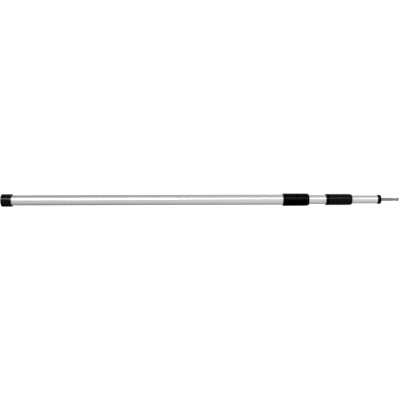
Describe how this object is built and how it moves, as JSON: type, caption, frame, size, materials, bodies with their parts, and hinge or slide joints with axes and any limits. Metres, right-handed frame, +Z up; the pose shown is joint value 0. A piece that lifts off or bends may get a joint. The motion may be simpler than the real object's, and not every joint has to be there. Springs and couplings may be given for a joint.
{
  "type": "telescopic extension pole",
  "caption": "Telescopic aluminium extension pole with twist locks, a rubber base cap and a grooved steel stud at the tip.",
  "frame": {"origin": "middle of the base cap's flat end face", "axes": "+X along the pole from the base cap to the stud, +Z up with the pole lying down"},
  "size_m": [1.0792, 0.0348, 0.0348],
  "materials": {
    "anodised_aluminium": "satin",
    "black_nylon": "satin",
    "black_rubber": "matte",
    "zinc_steel": "satin",
    "grey_nylon": "matte",
    "acetal": "satin"
  },
  "bodies": {
    "outer": {"base_ferrule": "black_rubber", "base_washer": "zinc_steel", "outer_tube": "anodised_aluminium", "lower_lock_body": "black_nylon"},
    "lower_collet": {"lower_collet": "grey_nylon"},
    "lower_sleeve": {"lower_sleeve": "black_nylon", "lower_wiper": "black_rubber"},
    "middle_ring": {"middle_guide_ring": "acetal"},
    "middle": {"middle_tube": "anodised_aluminium", "middle_bush": "grey_nylon", "middle_bush_pin": "zinc_steel", "upper_lock_body": "black_nylon"},
    "upper_collet": {"upper_collet": "grey_nylon"},
    "upper_sleeve": {"upper_sleeve": "black_nylon", "upper_wiper": "black_rubber"},
    "inner_ring": {"inner_guide_ring": "acetal"},
    "inner": {"inner_tube": "anodised_aluminium", "inner_bush": "grey_nylon", "inner_bush_pin": "zinc_steel", "tip_plug": "black_nylon", "tip_plug_pin": "zinc_steel", "tip_stud": "zinc_steel", "tip_stud_washer": "zinc_steel", "tip_stud_nut": "zinc_steel"}
  },
  "joints": [
    {"name": "lower_collet_travel", "type": "slide", "parent": "outer", "child": "lower_collet", "axis": [1, 0, 0], "range_m": [0, 0.0015]},
    {"name": "lower_sleeve_turn", "type": "hinge", "parent": "lower_collet", "child": "lower_sleeve", "pos_m": [0.77, 0, 0], "axis": [1, 0, 0], "range_deg": [0, 180]},
    {"name": "middle_slide", "type": "slide", "parent": "outer", "child": "middle_ring", "axis": [1, 0, 0], "range_m": [-0.041, 0.62]},
    {"name": "middle_spin", "type": "hinge", "parent": "middle_ring", "child": "middle", "pos_m": [0.1166, 0, 0], "axis": [1, 0, 0], "continuous": true},
    {"name": "upper_collet_travel", "type": "slide", "parent": "middle", "child": "upper_collet", "axis": [1, 0, 0], "range_m": [0, 0.0015]},
    {"name": "upper_sleeve_turn", "type": "hinge", "parent": "upper_collet", "child": "upper_sleeve", "pos_m": [0.8866, 0, 0], "axis": [1, 0, 0], "range_deg": [0, 180]},
    {"name": "inner_slide", "type": "slide", "parent": "middle", "child": "inner_ring", "axis": [1, 0, 0], "range_m": [-0.064, 0.62]},
    {"name": "inner_spin", "type": "hinge", "parent": "inner_ring", "child": "inner", "pos_m": [0.2447, 0, 0], "axis": [1, 0, 0], "continuous": true}
  ],
  "couplings": [
    {"joint": "lower_collet_travel", "follows": "lower_sleeve_turn", "m_per_rad": 0.00047746},
    {"joint": "upper_collet_travel", "follows": "upper_sleeve_turn", "m_per_rad": 0.00047746}
  ]
}
